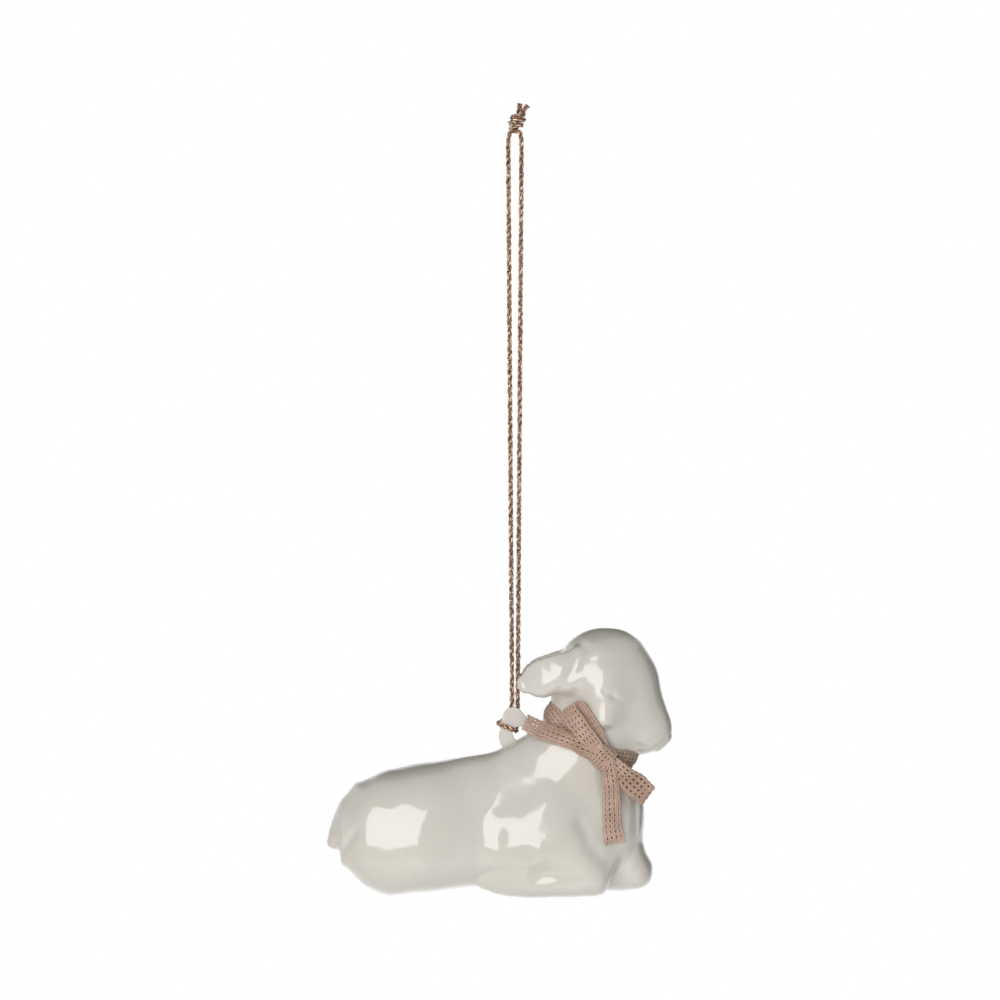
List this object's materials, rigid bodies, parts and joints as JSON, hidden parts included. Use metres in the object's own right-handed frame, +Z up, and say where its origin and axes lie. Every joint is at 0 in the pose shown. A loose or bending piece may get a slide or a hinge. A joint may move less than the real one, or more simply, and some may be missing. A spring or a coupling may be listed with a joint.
{
  "type": "hanging sheep ornament",
  "caption": "Hollow enamelled metal lamb lying down, hung from a ring at its nape on a twisted metallic cord loop, with a knitted ribbon tied in a bow round its neck.",
  "frame": {"origin": "inside top of the cord loop, where it rests on its hook", "axes": "+X the way the lamb faces, -Y its near side, which the picture shows, +Z up"},
  "size_m": [0.0745, 0.0246, 0.1715],
  "materials": {
    "enamel": "glossy enamel",
    "solder": "soft solder, dull",
    "metallic_cord": "twisted rose-gold metallic yarn",
    "knit_ribbon": "fine knitted ribbon with eyelet holes"
  },
  "bodies": {
    "hanger": {"cord_knot": "metallic_cord", "cord_top": "metallic_cord"},
    "cord": {"cord_legs": "metallic_cord"},
    "figurine": {"cord_bight": "metallic_cord", "front_shell": "enamel", "back_shell": "enamel", "seam_solder": "solder", "hanging_ring": "enamel", "neck_band": "knit_ribbon", "bow_knot": "knit_ribbon", "bow_loop_upper": "knit_ribbon", "bow_loop_lower": "knit_ribbon", "bow_tail_long": "knit_ribbon", "bow_tail_down": "knit_ribbon"}
  },
  "joints": [
    {"name": "spin", "type": "hinge", "parent": "hanger", "child": "cord", "pos_m": [0, 0, 0], "axis": [0, 0, 1], "range_deg": [-180, 180]},
    {"name": "swing", "type": "hinge", "parent": "cord", "child": "figurine", "pos_m": [0, 0.00105, -0.1227], "axis": [0, 1, 0], "range_deg": [-30, 60]}
  ]
}
